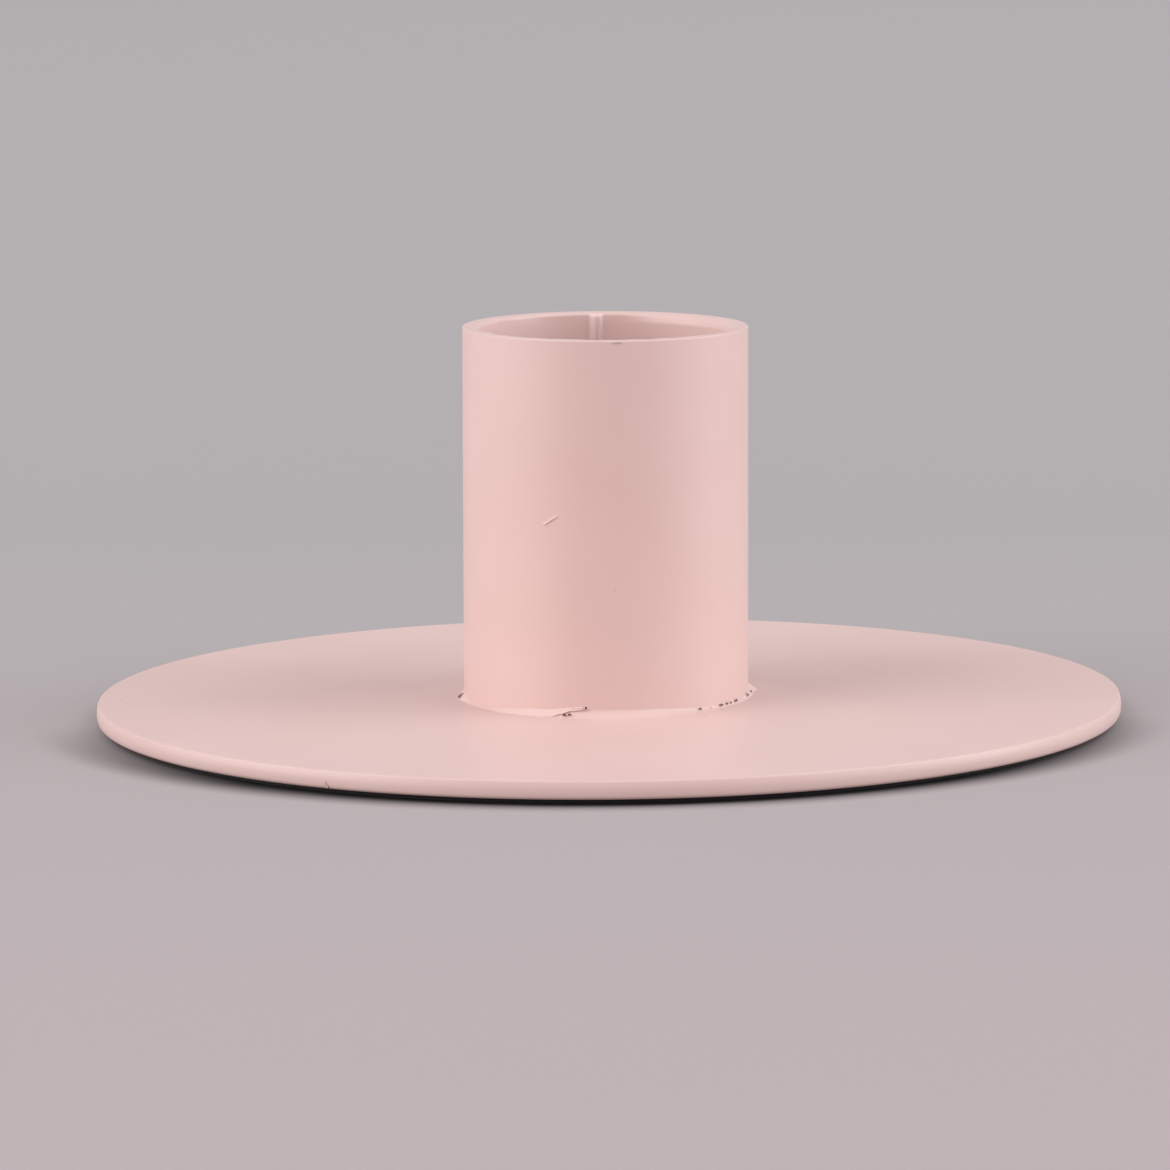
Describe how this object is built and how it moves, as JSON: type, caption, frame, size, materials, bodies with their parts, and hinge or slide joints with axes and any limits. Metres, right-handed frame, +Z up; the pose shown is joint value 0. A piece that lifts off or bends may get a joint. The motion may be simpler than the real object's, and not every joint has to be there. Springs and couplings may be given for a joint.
{
  "type": "candle holder",
  "caption": "Low holder for one candle: a short round steel tube stitch-welded upright on a flat round disc, powder coated, with a thin pad under the disc.",
  "frame": {"origin": "on the table, on the tube's axis, at the centre of the pad's underside", "axes": "+Z up along the tube, -Y towards the front as pictured, +X to the right; the tube's inner seam is at the back"},
  "size_m": [0.09, 0.09, 0.0346],
  "materials": {
    "powder_coat": "satin pink powder coat",
    "adhesive": "matte film",
    "pad": "black felt"
  },
  "bodies": {
    "root": {"base_disc": "powder_coat", "candle_tube": "powder_coat", "tube_seam": "powder_coat", "weld_left": "powder_coat", "weld_front": "powder_coat", "weld_right": "powder_coat", "weld_rear": "powder_coat", "pad_adhesive": "adhesive", "base_pad": "pad"}
  },
  "joints": []
}
